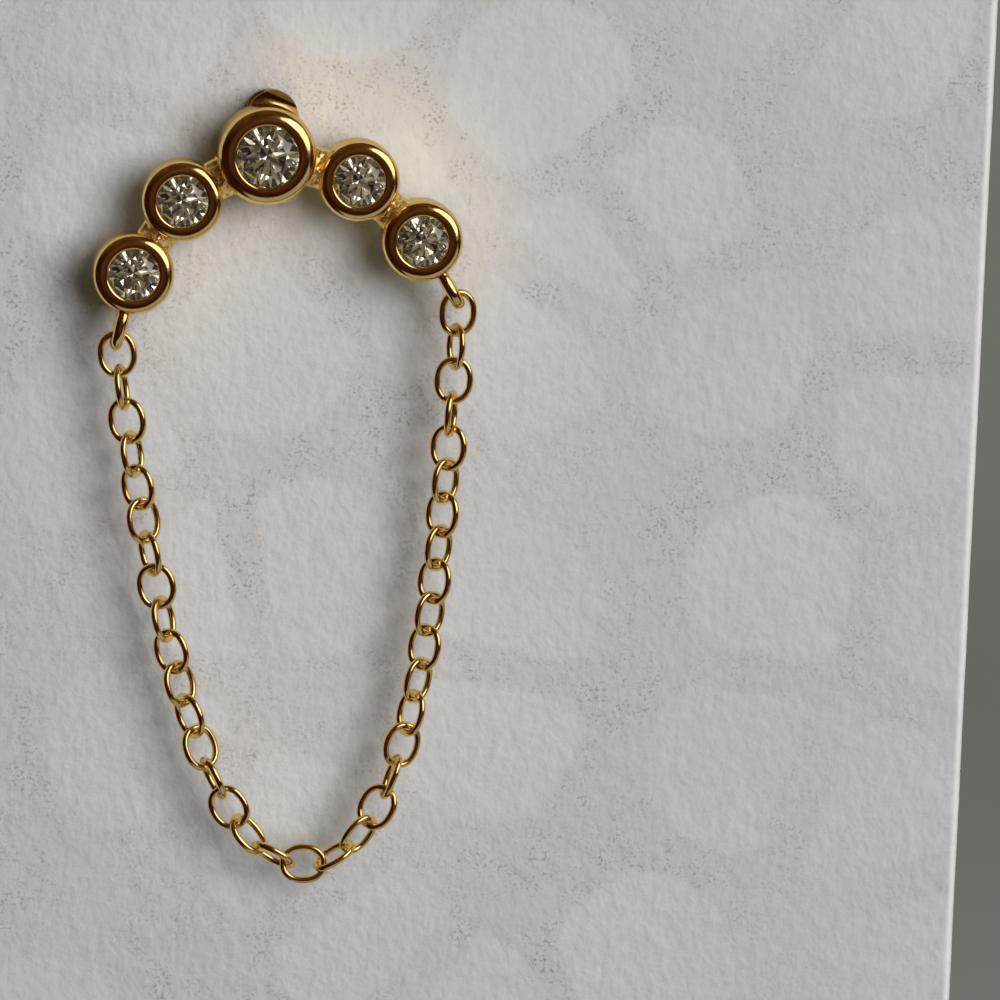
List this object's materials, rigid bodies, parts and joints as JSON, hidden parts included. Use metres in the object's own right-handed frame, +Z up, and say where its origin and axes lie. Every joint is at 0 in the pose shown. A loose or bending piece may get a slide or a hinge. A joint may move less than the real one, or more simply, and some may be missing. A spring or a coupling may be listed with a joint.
{
  "type": "ear chain earring on a card",
  "caption": "Arc of round stones in polished rub-over bezels with a fine chain looping from end to end, pinned by its post through a textured card with a curled nut",
  "frame": {"origin": "where the ear post enters the front face of the card, on the post's axis", "axes": "+X right as seen from the front, +Y away from the viewer along the post into the card, +Z up, against gravity, so the chain hangs along -Z"},
  "size_m": [0.0703, 0.0124, 0.0699],
  "materials": {
    "gold": "polished",
    "stone": "polished",
    "card": "matte"
  },
  "bodies": {
    "root": {"setting": "gold", "stone_centre": "stone", "stone_left_inner": "stone", "stone_left_end": "stone", "stone_right_inner": "stone", "stone_right_end": "stone", "link_01": "gold", "link_02": "gold", "link_03": "gold", "link_04": "gold", "link_05": "gold", "link_06": "gold", "link_07": "gold", "link_08": "gold", "link_09": "gold", "link_10": "gold", "link_11": "gold", "link_12": "gold", "link_13": "gold", "link_14": "gold", "link_15": "gold", "link_16": "gold", "link_17": "gold", "link_18": "gold", "link_19": "gold", "link_20": "gold", "link_21": "gold", "link_22": "gold", "link_23": "gold", "link_24": "gold", "link_25": "gold", "link_26": "gold", "link_27": "gold", "link_28": "gold", "link_29": "gold", "link_30": "gold", "link_31": "gold", "link_32": "gold", "link_33": "gold", "link_34": "gold", "link_35": "gold", "link_36": "gold", "ear_nut": "gold", "card": "card"}
  },
  "joints": []
}
